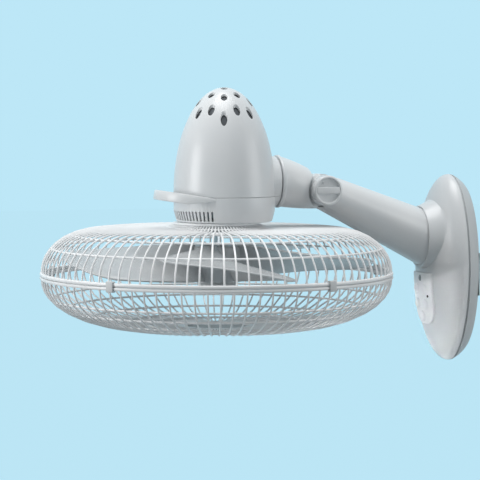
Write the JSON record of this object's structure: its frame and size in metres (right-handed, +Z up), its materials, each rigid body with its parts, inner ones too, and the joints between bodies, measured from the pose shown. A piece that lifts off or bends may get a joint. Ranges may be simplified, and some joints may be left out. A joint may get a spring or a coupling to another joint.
{
  "type": "wall mounted fan",
  "caption": "Wall-mounted fan: a wire-caged rotor on a swinging motor head, a tilting neck on a sloping arm, and a domed wall base with push buttons.",
  "frame": {"origin": "centre of the wall bracket's back face, on the wall", "axes": "+Y into the wall, +Z up, -Y out into the room"},
  "size_m": [0.4369, 0.5528, 0.35],
  "materials": {
    "pale_plastic": "fine satin",
    "deep_grey_plastic": "satin",
    "grip_plastic": "satin",
    "coated_wire": "smooth coating",
    "blade_plastic": "glossy",
    "steel": "bright",
    "zinc_steel": "zinc plated",
    "cast_alloy": "as cast",
    "laminations": "varnished sheet steel",
    "copper": "enamelled winding wire",
    "bronze": "sintered",
    "board": "solder resist",
    "dark_plastic": "smooth"
  },
  "bodies": {
    "base": {"wall_bracket": "zinc_steel", "base_plate": "deep_grey_plastic", "base_shell": "pale_plastic", "control_panel": "grip_plastic", "control_board": "board", "receiver_window": "dark_plastic", "arm": "pale_plastic", "arm_screw_1": "steel", "arm_screw_2": "steel", "shell_screw_1": "steel", "shell_screw_2": "steel", "tilt_bolt": "steel"},
    "knob": {"tilt_knob": "grip_plastic"},
    "speed_button": {"button_speed": "pale_plastic"},
    "swing_button": {"button_swing": "pale_plastic"},
    "timer_button": {"button_timer": "pale_plastic"},
    "mode_button": {"button_mode": "pale_plastic"},
    "power_button": {"button_power": "pale_plastic"},
    "neck": {"neck": "pale_plastic", "swing_spindle": "steel", "swing_washer": "dark_plastic", "swing_sector": "dark_plastic", "spindle_clip": "steel"},
    "head": {"front_cover": "pale_plastic", "rear_cover": "pale_plastic", "front_shield": "cast_alloy", "rear_shield": "cast_alloy", "head_bracket": "zinc_steel", "swing_boss": "cast_alloy", "spindle_bush": "bronze", "stator_core": "laminations", "coil_front": "copper", "coil_rear": "copper", "bearing_front": "bronze", "bearing_rear": "bronze", "swing_motor": "steel", "run_capacitor": "dark_plastic", "motor_screw_1": "steel", "motor_screw_2": "steel", "rear_grille": "coated_wire", "grille_nut": "deep_grey_plastic", "front_grille": "coated_wire", "front_badge": "grip_plastic", "rim_clip_1": "grip_plastic", "rim_clip_2": "grip_plastic", "rim_clip_3": "grip_plastic", "rim_clip_4": "grip_plastic", "rim_clip_5": "grip_plastic"},
    "pinion": {"swing_pinion": "dark_plastic"},
    "rotor": {"rotor_core": "laminations", "motor_shaft": "steel", "fan_blades": "blade_plastic", "blade_spinner": "grip_plastic"}
  },
  "joints": [
    {"name": "tilt", "type": "hinge", "parent": "base", "child": "neck", "pos_m": [0, -0.1995, 0.102], "axis": [-1, 0, 0], "range_deg": [0, 90]},
    {"name": "knob_turn", "type": "hinge", "parent": "base", "child": "knob", "pos_m": [0, -0.1995, 0.102], "axis": [1, 0, 0], "range_deg": [0, 180]},
    {"name": "swing", "type": "hinge", "parent": "neck", "child": "head", "pos_m": [0, -0.257, 0.113], "axis": [0, 1, 0], "range_deg": [-40, 40]},
    {"name": "pinion_turn", "type": "hinge", "parent": "head", "child": "pinion", "pos_m": [0, -0.284, 0.161], "axis": [0, 1, 0], "range_deg": [-120, 120]},
    {"name": "blade_spin", "type": "hinge", "parent": "head", "child": "rotor", "pos_m": [0, -0.334, 0], "axis": [0, 0, 1], "continuous": true},
    {"name": "speed_press", "type": "slide", "parent": "base", "child": "speed_button", "axis": [0, 1, 0], "range_m": [0, 0.0015], "stiffness_N_per_m": 900, "springref_m": -0.001},
    {"name": "swing_press", "type": "slide", "parent": "base", "child": "swing_button", "axis": [0, 1, 0], "range_m": [0, 0.0015], "stiffness_N_per_m": 900, "springref_m": -0.001},
    {"name": "timer_press", "type": "slide", "parent": "base", "child": "timer_button", "axis": [0, 1, 0], "range_m": [0, 0.0015], "stiffness_N_per_m": 900, "springref_m": -0.001},
    {"name": "mode_press", "type": "slide", "parent": "base", "child": "mode_button", "axis": [0, 1, 0], "range_m": [0, 0.0015], "stiffness_N_per_m": 900, "springref_m": -0.001},
    {"name": "power_press", "type": "slide", "parent": "base", "child": "power_button", "axis": [0, 1, 0], "range_m": [0, 0.0015], "stiffness_N_per_m": 900, "springref_m": -0.001}
  ],
  "couplings": [
    {"joint": "pinion_turn", "follows": "swing", "ratio": 3}
  ]
}
